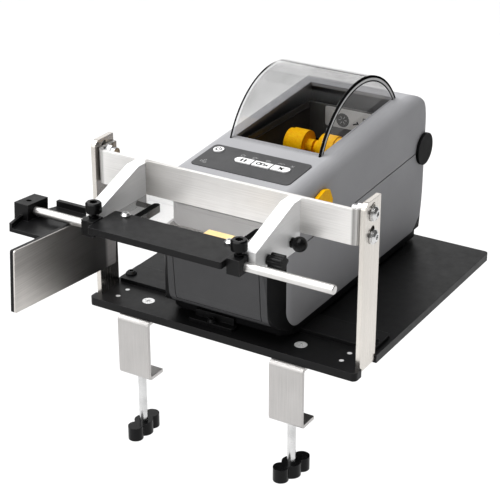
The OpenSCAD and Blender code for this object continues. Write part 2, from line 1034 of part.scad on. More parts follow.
module rod_block_left() {
    translate([applicator_x, 0, 0]) mirror([1, 0, 0]) rod_block();
}

// Knob that locks the guide rod in its block
module rod_knob(side) {
    tip = rod_z + rod_d / 2 + gap;
    color(black) translate([applicator_x + side * (table_w / 2 + block_w / 2), rod_y, 0]) {
        translate([0, 0, tip]) cylinder(d = knob_stud_d, h = rod_knob_z - tip + 1);
        translate([0, 0, block_top + gap]) cylinder(d = jam_d, h = jam_h, $fn = 6);
        translate([0, 0, rod_knob_z]) difference() {
            union() {
                cylinder(d = rod_knob_d, h = rod_knob_h - rod_knob_edge);
                translate([0, 0, rod_knob_h - rod_knob_edge]) {
                    cylinder(d1 = rod_knob_d, d2 = rod_knob_d - 2 * rod_knob_edge, h = rod_knob_edge);
                }
            }
            translate([0, 0, rod_knob_h - rod_knob_hex[1]]) {
                cylinder(d = rod_knob_hex[0], h = rod_knob_h, $fn = 6);
            }
        }
    }
}

module rod_knob_left() {
    rod_knob(-1);
}

module rod_knob_right() {
    rod_knob(1);
}

// Round rod with chamfered ends
module guide_rod() {
    color(steel) translate([rod_left, rod_y, rod_z]) rotate([0, 90, 0]) {
        cylinder(d1 = rod_d - 1.2, d2 = rod_d, h = 0.6);
        translate([0, 0, 0.6]) cylinder(d = rod_d, h = rod_l - 1.2);
        translate([0, 0, rod_l - 0.6]) cylinder(d1 = rod_d, d2 = rod_d - 1.2, h = 0.6);
    }
}

// Places its children on the rod's axis, turned to the stop's tilt
module on_rod() {
    translate([0, rod_y, rod_z]) rotate([-stop_tilt, 0, 0]) children();
}

// Plan of the carriage's tray
module tray_outline() {
    polygon([
        [-stop_x - stop_face_t - 1, tray_front],
        [-tray_left + 5, tray_front],
        [-tray_left, tray_front + 18],
        [-tray_left, stop_block_back],
        [-tray_left + 4, tray_back],
        [-stop_x - stop_face_t - 1, tray_back]
    ]);
}

// Moulded carriage: a block on the rod, a tray and the wall behind the stop plate
module stop_carriage() {
    wall_x = -stop_x - stop_face_t - stop_wall_t;
    color(black) on_rod() difference() {
        union() {
            translate([wall_x, 0, 0]) along_x(stop_wall_t) {
                translate([stop_front + stop_l / 2, stop_top - stop_h / 2]) round_rect(stop_l, stop_h, 1.5);
            }
            translate([0, 0, tray_floor]) linear_extrude(tray_t) tray_outline();
            translate([-stop_block_left, stop_block_front, tray_floor]) {
                cube([stop_block_w, stop_block_back - stop_block_front, stop_block_top - tray_floor]);
            }
            translate([0, 0, tray_floor]) linear_extrude(tray_t + rim_h) polygon([
                [-tray_left + 5, tray_front],
                [-tray_left, tray_front + 18],
                [-tray_left, stop_block_front + 1],
                [-tray_left + rim_t, stop_block_front + 1],
                [-tray_left + rim_t, tray_front + 18],
                [-tray_left + 5 + rim_t, tray_front]
            ]);
            translate([-tray_left + 4, tray_back - 4, tray_floor]) {
                cube([tray_left - 4 - rail_right, 4, tray_t + rail_h]);
            }
            for (y = [tray_front + 6, tray_back - 6]) {
                translate([wall_x + 1, y, tray_floor + 1]) {
                    along_y(rim_t) polygon([[0, 0], [-20, 0], [0, -20]]);
                }
            }
        }
        translate([-stop_block_left - 1, 0, 0]) shaft_x(rod_d + 2 * run, stop_block_w + 2);
        translate([-stop_block_left + stop_block_w / 2, 0, 0]) {
            cylinder(d = set_screw_d, h = stop_block_top + 1);
        }
    }
}

// Brushed plate on the carriage's wall
module stop_plate() {
    color(steel) on_rod() translate([-stop_x - stop_face_t, 0, 0]) along_x(stop_face_t) {
        translate([stop_front + stop_l / 2, stop_top - stop_h / 2]) round_rect(stop_l, stop_h, 1.5);
    }
}

// Side view of everything below the printer's seam, its back drawn in by an inset
module lower_profile(inset = 0) {
    tip = [printer_front, bezel_top];
    foot = touch(tip, chin, chin_r);
    start = atan2(foot[1] - chin[1], foot[0] - chin[0]) + 360;
    top = seam_z(printer_rear) - seam_gap;
    polygon(concat(
        [tip],
        [for (i = [0:chin_steps]) chin + chin_r * unit(start + (270 - start) * i / chin_steps)],
        [
            [rear_y(body_z) - inset, body_z],
            [rear_y(top) - inset, top],
            [lid_front, seam_z(lid_front) - seam_gap],
            [lid_front, bezel_top]
        ]
    ));
}

// Plan of the printer's body, drawn in by an inset
module body_plan(inset) {
    front = printer_front - plan_over + inset;
    rear = printer_rear + plan_over - inset;
    plan(printer_w - 2 * inset, front, rear, front_r - inset, rear_r - inset);
}

// Side view of the grey housing, grown by a margin
module housing_profile(grow) {
    front = panel_front - grow;
    low = body_z - grow;
    heel = rear_y(body_z) - heel_l;
    rear = printer_rear + plan_over;
    difference() {
        polygon([
            [front, low],
            [heel, low],
            [rear, low + heel_slope * (rear - heel)],
            [rear, seam_z(rear) - seam_gap + grow],
            [front, seam_z(front) - seam_gap + grow]
        ]);
        translate([front, low]) square(panel_r);
    }
    translate([front + panel_r, low + panel_r]) circle(panel_r);
}

// Side view of all that lies in front of the leaning back, moved in by an inset
module back_zone(inset) {
    high = 2 * hinge_z;
    polygon([[0, 0], [rear_y(0) - inset, 0], [rear_y(high) - inset, high], [0, high]]);
}

// Bay for the sockets at the back
module port_bay() {
    translate([-port_half - seat, port_y - port_d - seat, port_z - seat]) {
        cube([2 * (port_half + seat), port_d + rear_lean, port_h + 2 * seat]);
    }
}

// Groove in which the lid's barrel turns
module hinge_groove() {
    translate([-printer_w, hinge_y, hinge_z]) shaft_x(2 * groove_r, 2 * printer_w);
}

// Side view of the body's front skin, this deep and between two heights
module front_section(depth, low, high) {
    intersection() {
        difference() {
            lower_profile();
            translate([depth, 0]) lower_profile();
        }
        translate([printer_front - 1, low]) square([lid_front - printer_front, high - low]);
    }
}

// Piece of the body's front skin inside a half width
module front_layer(depth, half, low, high) {
    intersection() {
        translate([0, 0, body_z]) linear_extrude(hinge_z) body_plan(0);
        along_x(2 * half, center = true) front_section(depth, low, high);
    }
}

// Core of the base inside the grey skin, its front corners and its skirt
module base_core() {
    intersection() {
        translate([0, 0, body_z]) linear_extrude(hinge_z) body_plan(skin_t + seat);
        along_x(2 * printer_w, center = true) lower_profile(skin_t + seat);
    }
    intersection() {
        translate([0, 0, body_z]) linear_extrude(hinge_z) body_plan(0);
        along_x(2 * printer_w, center = true) difference() {
            lower_profile();
            housing_profile(seat);
        }
    }
    translate([0, 0, printer_z]) linear_extrude(skirt_h) {
        plan(printer_w - 2 * skirt_in, skirt_front, rear_y(body_z) - skirt_in, skirt_r, rear_r);
    }
}

// Room for the front bezel
module bezel_zone() {
    along_x(2 * (bezel_half + seat), center = true) difference() {
        translate([printer_front - 1, bezel_z - seat]) square([lid_front - printer_front, bezel_top]);
        translate([bezel_t + seat, 0]) lower_profile();
    }
}

// Ears that hold the hinge pins
module hinge_ears() {
    width = ear_out - ear_in;
    both() translate([ear_in, hinge_y, hinge_z]) {
        shaft_x(2 * ear_r, width);
        translate([0, -ear_r, -groove_r - 2]) cube([width, 2 * ear_r, groove_r + 2]);
    }
}

// Black base: skirt, front corners, media tub, hinge ears and drive cavities
module printer_base() {
    color(black) difference() {
        union() {
            difference() {
                base_core();
                hinge_groove();
                translate([-tub_half, tub_front, tub_floor]) {
                    cube([2 * tub_half, tub_back - tub_front, hinge_z]);
                }
            }
            hinge_ears();
        }
        bezel_zone();
        both() translate([ear_in - 1, hinge_y, hinge_z]) shaft_x(pin_d + 2 * seat, printer_w);
        drive_cavities();
        port_bay();
    }
}

// Room for the platen, its gear, the pinion and the motor
module drive_cavities() {
    slack = 0.8;
    gear_r = tooth * (platen_teeth / 2 + 1) + slack;
    translate([platen_x[0] - slack, platen[0], platen[1]]) {
        shaft_x(platen_d + 2 * slack, platen_x[1] - platen_x[0] + 2 * slack);
        translate([0, -platen_d / 2 - slack, 0]) {
            cube([platen_x[1] - platen_x[0] + 2 * slack, platen_d + 2 * slack, platen_d]);
        }
    }
    translate([-shaft_half - 0.5, platen[0], platen[1]]) shaft_x(shaft_d + 2 * run, 2 * shaft_half + 1);
    translate([gear_x - slack, 0, 0]) {
        translate([0, platen[0], platen[1]]) shaft_x(2 * gear_r, gear_w + 2 * slack);
        translate([0, pinion[0], pinion[1]]) {
            shaft_x(tooth * (pinion_teeth + 2) + 2 * slack, gear_w + 2 * slack);
        }
        translate([0, platen[0] - gear_r, platen[1]]) cube([gear_w + 2 * slack, 2 * gear_r, platen_d]);
    }
    translate([motor_x - seat, pinion[0], pinion[1]]) shaft_x(motor_d + 2 * seat, motor_l + 2 * seat);
}

// Grey skin around the sides and the back
module lower_housing() {
    color(side_grey) difference() {
        intersection() {
            linear_extrude(2 * hinge_z) body_plan(0);
            along_x(2 * printer_w, center = true) intersection() {
                housing_profile(0);
                back_zone(0);
            }
        }
        intersection() {
            linear_extrude(2 * hinge_z) body_plan(skin_t);
            along_x(2 * printer_w, center = true) back_zone(skin_t);
        }
        hinge_groove();
        port_bay();
    }
}

// Front bezel with a recess for the panel
module front_bezel() {
    color(dark_grey) difference() {
        front_layer(bezel_t, bezel_half, bezel_z, bezel_top);
        front_layer(door_t + seat, door_half + door_gap, door_z - door_gap, door_top + door_gap);
    }
}

// Flush panel in the bezel
module front_panel() {
    color(dark_grey) front_layer(door_t, door_half, door_z, door_top);
}

// Power inlet and data sockets at the back
module rear_ports() {
    color(black) translate([0, port_y, port_z]) difference() {
        translate([-port_half, -port_d, 0]) cube([2 * port_half, port_d - 1, port_h]);
        translate([inlet_x, 1 - port_d, port_h / 2]) shaft_y(inlet_d, port_d);
        translate([0, 1 - port_d, (port_h - socket[1]) / 2]) cube([socket[0], port_d, socket[1]]);
    }
}

// Round hinge caps, each with its pin
module hinge_caps() {
    color(black) both() translate([0, hinge_y, hinge_z]) {
        translate([printer_w / 2 + gap, 0, 0]) shaft_x(cap_d, cap_t);
        translate([ear_in, 0, 0]) shaft_x(pin_d, printer_w / 2 + gap + 1 - ear_in);
    }
}

// Rubber roller on its shaft
module platen_roller() {
    color(rubber) translate([0, platen[0], platen[1]]) {
        translate([platen_x[0], 0, 0]) shaft_x(platen_d, platen_x[1] - platen_x[0]);
        translate([-shaft_half, 0, 0]) shaft_x(shaft_d, 2 * shaft_half);
    }
}

// Straight-toothed gear outline
module gear_outline(teeth) {
    root = tooth * (teeth / 2 - 1.15);
    tip = tooth * (teeth / 2 + 0.85);
    circle(root);
    for (i = [0:teeth - 1]) {
        rotate(i * 360 / teeth) polygon([
            [root - 0.4, -0.85 * tooth],
            [tip, -0.3 * tooth],
            [tip, 0.3 * tooth],
            [root - 0.4, 0.85 * tooth]
        ]);
    }
}

// Gear on the platen's shaft
module platen_gear() {
    color(white) translate([gear_x, platen[0], platen[1]]) along_x(gear_w) difference() {
        rotate(mesh_angle) gear_outline(platen_teeth);
        circle(d = shaft_d + 2 * seat);
    }
}

// Pinion with the motor's shaft
module motor_pinion() {
    color(steel) translate([gear_x, pinion[0], pinion[1]]) {
        along_x(gear_w) rotate(mesh_angle + 180 + 180 / pinion_teeth) gear_outline(pinion_teeth);
        shaft_x(pinion_shaft_d, gear_w + motor_l / 2);
    }
}

// Can of the feed motor
module feed_motor() {
    color(steel) translate([motor_x, pinion[0], pinion[1]]) difference() {
        shaft_x(motor_d, motor_l);
        translate([-1, 0, 0]) shaft_x(pinion_shaft_d + 2 * run, motor_l / 2 + 2);
    }
}

// Right roll holder: foot, arm and hub
module roll_holder() {
    color(yellow) {
        translate([roll_foot[0], roll_y - roll_arm_w / 2, tub_floor + gap]) {
            cube([roll_foot[1] - roll_foot[0], roll_arm_w, roll_foot_h]);
        }
        translate([roll_hub[1], roll_y - roll_arm_w / 2, tub_floor + gap]) {
            cube([roll_arm_t, roll_arm_w, roll_z - tub_floor - gap]);
        }
        translate([0, roll_y, roll_z]) {
            translate([roll_hub[1], 0, 0]) shaft_x(roll_arm_w, roll_arm_t);
            translate([roll_hub[0], 0, 0]) shaft_x(roll_hub_d, roll_hub[1] - roll_hub[0]);
            translate([roll_tip, 0, 0]) shaft_x(roll_tip_d, roll_hub[0] - roll_tip + 1);
        }
    }
}

module roll_holder_right() {
    roll_holder();
}

module roll_holder_left() {
    mirror([1, 0, 0]) roll_holder();
}

// Side view of the lid, drawn in by an inset and with its lower edge dropped
module lid_profile(inset, drop) {
    front = [lid_front + lid_edge_r, lid_top(lid_front + lid_edge_r) - lid_edge_r / cos(lid_slope)];
    back = lid_back();
    top = 90 + lid_slope;
    rear = printer_rear + drop * tan(lid_lean) - inset / cos(lid_lean);
    polygon(concat(
        [[lid_front + inset, seam_z(lid_front) + seam_gap - drop]],
        [for (i = [0:lid_steps]) front + (lid_edge_r - inset) * unit(180 - (180 - top) * i / lid_steps)],
        [for (i = [0:lid_steps]) back + (lid_back_r - inset) * unit(top - (top - lid_lean) * i / lid_steps)],
        [[rear, seam_z(printer_rear) + seam_gap - drop]]
    ));
}

// Plan of the lid, drawn in by an inset
module lid_plan(inset) {
    front = lid_front - plan_over + inset;
    rear = printer_rear + plan_over - inset;
    plan(printer_w - 2 * inset, front, rear, lid_front_r - inset, lid_rear_r - inset);
}

// Front view of the lid's crown, its top just over z = 0
module crown(inset) {
    height = 2 * lid_z;
    translate([0, crown_over - inset - height / 2]) {
        round_rect(printer_w - 2 * inset, height, crown_r - inset);
    }
}

// Solid lid shape, drawn in by an inset
module lid_shape(inset, drop) {
    intersection() {
        along_x(2 * printer_w, center = true) lid_profile(inset, drop);
        linear_extrude(2 * lid_z) lid_plan(inset);
        on_lid(lid_front) translate([0, -50, 0]) along_y(2 * printer_rear) crown(inset);
    }
}

// Places its children on the lid's sloping top at a distance y
module on_lid(y) {
    translate([0, y, lid_top(y)]) rotate([lid_slope, 0, 0]) children();
}

// Outlines of the four buttons on the control panel, grown by a margin
module power_outline(grow) {
    translate([power_x, power_s]) circle(d = power_d + 2 * grow);
}

module pill_outline(index, grow) {
    w = pill[0] + 2 * grow;
    h = pill[1] + 2 * grow;
    side = index - 1;
    translate([pill_x[index], pill_s]) {
        if (side == 0) {
            square([w, h], center = true);
        } else {
            translate([side * (w - h) / 2, 0]) circle(d = h);
            translate([-side * h / 4, 0]) square([w - h / 2, h], center = true);
        }
    }
}

module button_outlines(grow) {
    power_outline(grow);
    for (i = [0:2]) {
        pill_outline(i, grow);
    }
}

// Side view of a latch
module latch_outline() {
    translate([latch_y, latch_z]) polygon([[0, 0], [33, 0], [34, 11], [29, 20.5], [21, 22.5], [1, 17]]);
}

// Lid: hollow shell with the media bay, hinge barrel, panel seat and latch slots
module printer_lid() {
    color(lid_grey) difference() {
        union() {
            difference() {
                lid_shape(0, 0);
                lid_shape(lid_wall, 2 * groove_r);
            }
            intersection() {
                translate([-printer_w / 2, hinge_y, hinge_z]) shaft_x(2 * barrel_r, printer_w);
                linear_extrude(2 * hinge_z) {
                    lid_plan(barrel_in);
                }
            }
        }
        both() {
            translate([ear_in - gap, hinge_y, hinge_z]) {
                shaft_x(2 * barrel_r + 1, ear_out - ear_in + 2 * gap);
            }
            translate([ear_in - gap, hinge_y, hinge_z]) shaft_x(pin_d + 2 * run, printer_w);
            translate([printer_w / 2 - lid_wall - 1, latch_stem_y, latch_stem_z]) along_x(lid_wall + 2) {
                translate([-latch_stem[0] / 2 - latch_travel - gap, -latch_stem[1] / 2 - gap]) {
                    square([latch_stem[0] + latch_travel + 2 * gap, latch_stem[1] + 2 * gap]);
                }
            }
        }
        translate([-bay_half, bay[0], hinge_z + groove_r]) cube([2 * bay_half, bay[1] - bay[0], lid_z]);
        on_lid(ui_y) {
            translate([0, 0, -ui_sink]) {
                linear_extrude(ui_t) round_rect(ui_w + 2 * seat, ui_d + 2 * seat, 4 + seat);
            }
            translate([0, 0, -2 * lid_wall]) linear_extrude(4 * lid_wall) button_outlines(button_gap);
        }
    }
}

// Smoked cover over the media bay
module media_window() {
    color(smoke) difference() {
        translate([0, window_mid, window_z]) {
            difference() {
                along_x(2 * window_half, center = true) circle(window_r);
                along_x(2 * (window_half - window_t), center = true) circle(window_r - window_t);
            }
        }
        on_lid(lid_front) translate([-printer_w, -printer_w, -2 * window_r]) {
            cube([2 * printer_w, 4 * printer_w, 2 * window_r]);
        }
    }
}

// Control panel let into the lid
module control_panel() {
    color(dark_grey) on_lid(ui_y) translate([0, 0, -ui_sink]) linear_extrude(ui_t) difference() {
        round_rect(ui_w, ui_d, 4);
        button_outlines(button_gap);
    }
}

module power_button() {
    color(white) on_lid(ui_y) translate([0, 0, button_low]) {
        linear_extrude(button_top - button_low) power_outline(0);
    }
}

// One of the three pill-shaped buttons
module pill_button(index) {
    color(white) on_lid(ui_y) translate([0, 0, button_low]) {
        linear_extrude(button_top - button_low) pill_outline(index, 0);
    }
}

module pause_button() {
    pill_button(0);
}

module feed_button() {
    pill_button(1);
}

module cancel_button() {
    pill_button(2);
}

// Right latch with the stem that runs in the lid's slot
module latch() {
    color(yellow) {
        translate([latch_x, 0, 0]) along_x(latch_t) latch_outline();
        stem_low = [latch_stem_y - latch_stem[0] / 2, latch_stem_z - latch_stem[1] / 2];
        translate([printer_w / 2 - lid_wall - 4, stem_low[0], stem_low[1]]) {
            cube([lid_wall + 6, latch_stem[0], latch_stem[1]]);
        }
    }
}

module latch_right() {
    latch();
}

module latch_left() {
    mirror([1, 0, 0]) latch();
}

// Print head on the lid's front wall, above the platen
module print_head() {
    color(side_grey) translate([-head_half, lid_front + lid_wall, head_z]) {
        cube([2 * head_half, head_back - lid_front - lid_wall, head_h]);
    }
}

base_plate();
rubber_feet();
post_left();
post_right();
plate_screws();
printer_bar();
plate_bolts();
front_clip();
clamp_bracket_left();
clamp_bracket_right();
clamp_bushes();
clamp_pad_left();
clamp_pad_right();
clamp_screw_left();
clamp_screw_right();
clamp_knob_left();
clamp_knob_right();
crossbar();
crossbar_bolts();
crossbar_nuts();
gusset_left();
gusset_right();
gusset_screws();
clear_plate();
amber_strip();
plate_knob_front_left();
plate_knob_front_right();
plate_knob_rear_left();
plate_knob_rear_right();
label_table();
table_screws();
rod_block_left();
rod_block_right();
rod_knob_left();
rod_knob_right();
guide_rod();
stop_carriage();
stop_plate();
printer_base();
lower_housing();
front_bezel();
front_panel();
rear_ports();
hinge_caps();
platen_roller();
platen_gear();
motor_pinion();
feed_motor();
roll_holder_left();
roll_holder_right();
printer_lid();
media_window();
control_panel();
power_button();
pause_button();
feed_button();
cancel_button();
latch_left();
latch_right();
print_head();
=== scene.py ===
"""Label applicator: finishes, small pieces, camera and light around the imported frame."""
import math

import bmesh
import bpy
from mathutils import Matrix, Vector


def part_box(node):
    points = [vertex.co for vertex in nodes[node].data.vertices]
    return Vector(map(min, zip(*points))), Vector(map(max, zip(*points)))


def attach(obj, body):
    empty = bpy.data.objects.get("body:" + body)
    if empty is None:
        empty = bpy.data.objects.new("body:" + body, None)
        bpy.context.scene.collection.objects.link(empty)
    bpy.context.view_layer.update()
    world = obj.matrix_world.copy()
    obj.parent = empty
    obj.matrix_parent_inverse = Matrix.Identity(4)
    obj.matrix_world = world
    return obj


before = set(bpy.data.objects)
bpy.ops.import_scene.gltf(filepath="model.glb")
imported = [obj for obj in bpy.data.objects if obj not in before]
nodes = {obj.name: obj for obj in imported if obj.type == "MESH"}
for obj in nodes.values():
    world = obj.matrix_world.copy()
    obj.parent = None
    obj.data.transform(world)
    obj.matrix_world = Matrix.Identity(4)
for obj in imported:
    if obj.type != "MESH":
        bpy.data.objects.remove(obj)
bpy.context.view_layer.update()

MM = 0.001
X, Y, Z = 0, 1, 2
scene = bpy.context.scene


class Graph:
    """Node tree of one material, with short calls to add and join its nodes."""

    # Places of the colour sockets on a Mix node
    COLOR_A, COLOR_B, COLOR_RESULT = 6, 7, 2

    def __init__(self, name, **sockets):
        self.material = bpy.data.materials.new(name)
        self.material.use_nodes = True
        self.tree = self.material.node_tree
        self.shader = self.tree.nodes["Principled BSDF"]
        self.place = self.add("ShaderNodeTexCoord").outputs["Object"]
        for socket, value in sockets.items():
            self.shader.inputs[socket.replace("_", " ")].default_value = value

    def add(self, kind, **settings):
        node = self.tree.nodes.new(kind)
        for key, value in settings.items():
            setattr(node, key, value)
        return node

    def join(self, source, target):
        self.tree.links.new(source, target)

    def drive(self, socket, source):
        self.join(source, self.shader.inputs[socket])

    def noise(self, scale, stretch=(1, 1, 1), detail=3.0, rough=0.55):
        mapping = self.add("ShaderNodeMapping")
        mapping.inputs["Scale"].default_value = stretch
        self.join(self.place, mapping.inputs["Vector"])
        node = self.add("ShaderNodeTexNoise")
        node.inputs["Scale"].default_value = scale
        node.inputs["Detail"].default_value = detail
        node.inputs["Roughness"].default_value = rough
        self.join(mapping.outputs["Vector"], node.inputs["Vector"])
        return node.outputs["Fac"]

    def span(self, source, low, high, start=0.25, end=0.75):
        """low before start, high after end, and even change between them."""
        node = self.add("ShaderNodeMapRange")
        node.inputs["From Min"].default_value = start
        node.inputs["From Max"].default_value = end
        node.inputs["To Min"].default_value = low
        node.inputs["To Max"].default_value = high
        self.join(source, node.inputs["Value"])
        return node.outputs["Result"]

    def rise(self, source, start, end, top=1.0):
        return self.span(source, 0.0, top, start, end)

    def fall(self, source, start, end, top=1.0):
        return self.span(source, top, 0.0, start, end)

    def ramp(self, source, *stops):
        node = self.add("ShaderNodeValToRGB")
        elements = node.color_ramp.elements
        while len(elements) < len(stops):
            elements.new(0.5)
        for element, (position, color) in zip(elements, stops):
            element.position = position
            element.color = (*color, 1.0)
        self.join(source, node.inputs["Fac"])
        return node.outputs["Color"]

    def math(self, operation, a, b=None):
        node = self.add("ShaderNodeMath", operation=operation)
        for socket, value in zip(node.inputs, (a, b)):
            if isinstance(value, (int, float)):
                socket.default_value = value
            elif value is not None:
                self.join(value, socket)
        return node.outputs["Value"]

    def times(self, a, b):
        return self.math("MULTIPLY", a, b)

    def size(self, a):
        return self.math("ABSOLUTE", a)

    def mix(self, factor, a, b):
        node = self.add("ShaderNodeMix", data_type="RGBA")
        self.join(factor, node.inputs["Factor"])
        for place, value in ((self.COLOR_A, a), (self.COLOR_B, b)):
            if isinstance(value, tuple):
                node.inputs[place].default_value = (*value, 1.0)
            else:
                self.join(value, node.inputs[place])
        return node.outputs[self.COLOR_RESULT]

    def axis(self, index, source=None):
        """One coordinate of the place on the surface, or of another vector."""
        node = self.add("ShaderNodeSeparateXYZ")
        self.join(source or self.place, node.inputs["Vector"])
        return node.outputs[index]

    def geometry(self, output):
        return self.add("ShaderNodeNewGeometry").outputs[output]

    def facing(self):
        """0 where a surface is seen square on, 1 where it is seen edge on."""
        node = self.add("ShaderNodeLayerWeight")
        node.inputs["Blend"].default_value = 0.5
        return node.outputs["Facing"]

    def soft_edge(self, radius):
        node = self.add("ShaderNodeBevel", samples=4)
        node.inputs["Radius"].default_value = radius * MM
        return node.outputs["Normal"]

    def edge_mask(self, radius):
        """1 on the part's edges, 0 on its faces."""
        dot = self.add("ShaderNodeVectorMath", operation="DOT_PRODUCT")
        self.join(self.soft_edge(radius), dot.inputs[0])
        self.join(self.geometry("Normal"), dot.inputs[1])
        return self.fall(dot.outputs["Value"], 0.82, 0.99)

    def bump(self, height, strength, distance, edge):
        node = self.add("ShaderNodeBump")
        node.inputs["Strength"].default_value = strength
        node.inputs["Distance"].default_value = distance * MM
        self.join(height, node.inputs["Height"])
        if edge:
            self.join(self.soft_edge(edge), node.inputs["Normal"])
        self.drive("Normal", node.outputs["Normal"])


def grey(level, blue=0.0):
    return (level, level, level + blue)


# Kinds of surface; edge radii are in millimetres
def moulded(name, dark, light, rough, cloud=22, grain=2600, depth=0.12, edge=0.5, edge_wear_and_highlight=None, **sockets):
    """Moulded or painted surface: soft tone changes, a fine grain and, given an edge colour, worn edges with
    a painted highlight.
    """
    g = Graph(name, **sockets)
    tone = g.ramp(g.noise(cloud, detail=5), (0.3, dark), (0.7, light))
    # Lighter edges: partly wear, partly a painted highlight along the edges
    if edge_wear_and_highlight:
        speckle = g.span(g.noise(420), 0.25, 1.0)
        tone = g.mix(g.times(g.edge_mask(0.6), speckle), tone, edge_wear_and_highlight)
    g.drive("Base Color", tone)
    g.drive("Roughness", g.span(g.noise(140, detail=4), *rough))
    g.bump(g.noise(grain, detail=2), depth, 0.1, edge)
    return g.material


def brushed(name, dark, light, rough, along, fine=1500, depth=0.1, edge=0.5, painted_light=None, **sockets):
    """Metal brushed along one axis, with painted shade and reflections laid over it."""
    g = Graph(name, **{"Metallic": 1.0, **sockets})
    stretch = tuple(0.012 if i == along else 1.0 for i in (X, Y, Z))
    streaks = g.noise(fine, stretch, detail=4, rough=0.7)
    clouds = g.noise(14, detail=4)
    shade = g.math("ADD", g.times(streaks, 0.55), g.times(clouds, 0.45))
    tone = g.ramp(shade, (0.35, dark), (0.62, light))
    # Painted shade and reflections over the brushed tone
    for mask, color in painted_light(g) if painted_light else ():
        tone = g.mix(mask, tone, color)
    g.drive("Base Color", tone)
    g.drive("Roughness", g.span(streaks, *rough))
    g.bump(streaks, depth, 0.1, edge)
    return g.material


def polished(name, dark, light, rough, **sockets):
    """Turned or plated metal with faint smudges."""
    g = Graph(name, **{"Metallic": 1.0, **sockets})
    g.drive("Base Color", g.ramp(g.noise(60, detail=4), (0.3, dark), (0.7, light)))
    g.drive("Roughness", g.span(g.noise(230, detail=4), *rough))
    g.bump(g.noise(1800, detail=2), 0.05, 0.1, 0.3)
    return g.material


def clear_sheet(name, power, shine, smoke, heights, painted_light):
    """Clear plastic: it mirrors at low angles, its smoke changes with height, and its painted highlights and
    shade are opaque.
    """
    g = Graph(name, Specular_IOR_Level=0.0)
    entering = g.math("SUBTRACT", 1.0, g.geometry("Backfacing"))
    gloss = g.times(g.math("POWER", g.facing(), power), entering)
    uneven = g.span(g.noise(24, detail=5), 0.8, 1.2)
    cover = g.math("ADD", gloss, g.times(uneven, g.span(g.axis(Z), *smoke, *heights)))
    tone = g.mix(g.math("DIVIDE", gloss, cover), grey(0.0), shine)
    metal = g.span(g.noise(18), 0.98, 1.0)
    # Painted highlights and shade, opaque on the sheet
    for mask, color in painted_light(g):
        tone = g.mix(mask, tone, color)
        cover = g.math("MAXIMUM", cover, mask)
        metal = g.math("MINIMUM", metal, g.math("SUBTRACT", 1.0, mask))
    g.drive("Base Color", tone)
    g.drive("Metallic", metal)
    g.drive("Alpha", g.math("MINIMUM", cover, 1.0))
    g.drive("Roughness", g.span(g.noise(35, detail=5), 0.02, 0.06))
    g.bump(g.noise(9, detail=2), 0.02, 0.5, 0)
    return g.material


# Painted shade, reflections and highlights on single parts, each a mask and a colour
def crossbar_shade_and_reflections(g):
    """Painted shade beside the left gusset and painted reflection lines, upright, at both bends."""
    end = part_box("crossbar")[1][X]
    bend = g.rise(g.size(g.axis(X)), end - 8 * MM, end - 6 * MM)
    # Painted reflections: dark upright lines at the bends
    reflection_lines = g.rise(g.noise(700, (1, 1, 0.004)), 0.35, 0.6, 0.8)
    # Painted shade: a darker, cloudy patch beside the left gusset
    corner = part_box("gusset_left")[1][X]
    inside = g.rise(g.axis(X), corner - 1 * MM, corner)
    fading = g.fall(g.axis(X), corner, corner + 45 * MM, 0.8)
    cloudy = g.span(g.noise(35, (1, 1, 3)), 0.6, 1.0)
    shade_patch = g.times(g.times(inside, fading), cloudy)
    return (shade_patch, (0.36, 0.345, 0.325)), (g.times(bend, reflection_lines), (0.16, 0.155, 0.15))


def stop_plate_shade(g):
    """Painted shade over the rear half of the stop plate; its rear end is light again."""
    low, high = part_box("stop_plate")
    front, back = low[Y], high[Y]
    # Painted shade, growing towards the rear
    darker = g.rise(g.axis(Y), front + 10 * MM, back - 30 * MM, 0.9)
    before_end = g.fall(g.axis(Y), back - 17 * MM, back - 13 * MM)
    return (g.times(darker, before_end), (0.07, 0.068, 0.066)),


ARCH_R = 76.1 * MM
ARCH_Y = 159 * MM
ARCH_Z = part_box("media_window")[1][Z] - ARCH_R


def window_shade_and_highlight(g):
    """Painted shade on the right arch's rim and the front half of the left one, and a painted highlight line
    in the right one.
    """
    across = g.math("SUBTRACT", g.axis(Y), ARCH_Y)
    up = g.math("SUBTRACT", g.axis(Z), ARCH_Z)
    radius = g.math("SQRT", g.math("ADD", g.times(across, across), g.times(up, up)))
    end = g.rise(g.size(g.axis(X)), 40.3 * MM, 40.6 * MM)
    near = g.rise(g.axis(X), 0.0, 1 * MM)
    front = g.fall(across, -12 * MM, 12 * MM)
    # Painted shade along the rims, and a painted highlight between two dark lines in the right one
    rim = g.times(end, g.rise(radius, ARCH_R - 2.1 * MM, ARCH_R - 1.8 * MM))
    inner = g.times(g.times(end, near), g.rise(radius, ARCH_R - 5.2 * MM, ARCH_R - 5.0 * MM))
    light = g.times(inner, g.rise(radius, ARCH_R - 4.1 * MM, ARCH_R - 3.7 * MM, 0.85))
    dark = g.times(rim, g.math("MAXIMUM", near, front))
    return (inner, grey(0.004)), (light, grey(0.7)), (dark, grey(0.004))


APPLICATOR_X = -6.5 * MM
SLOT_X = 46.5 * MM
SLOT_HALF = 3.2 * MM
SLOT_FRONT = -52 * MM
SLOT_BACK = 4 * MM
SHARP = 0.2 * MM


def acrylic_highlight_and_shade(g):
    """Painted highlights on the clear plate's edges, and painted shade on the walls of its two slots."""
    off = g.size(g.math("SUBTRACT", g.axis(X), APPLICATOR_X))
    aside = g.size(g.math("SUBTRACT", off, SLOT_X))
    across = g.fall(aside, SLOT_HALF, SLOT_HALF + SHARP)
    behind = g.rise(g.axis(Y), SLOT_FRONT, SLOT_FRONT + SHARP)
    before = g.fall(g.axis(Y), SLOT_BACK, SLOT_BACK + SHARP)
    inside = g.times(across, g.times(behind, before))
    wall = g.fall(g.size(g.axis(Z, g.geometry("Normal"))), 0.4, 0.6)
    lit_edge = g.times(g.edge_mask(0.8), 0.5)
    # Painted highlight on the edges, painted shade in the slots
    return (lit_edge, (0.6, 0.61, 0.61)), (g.times(inside, wall), grey(0.02))


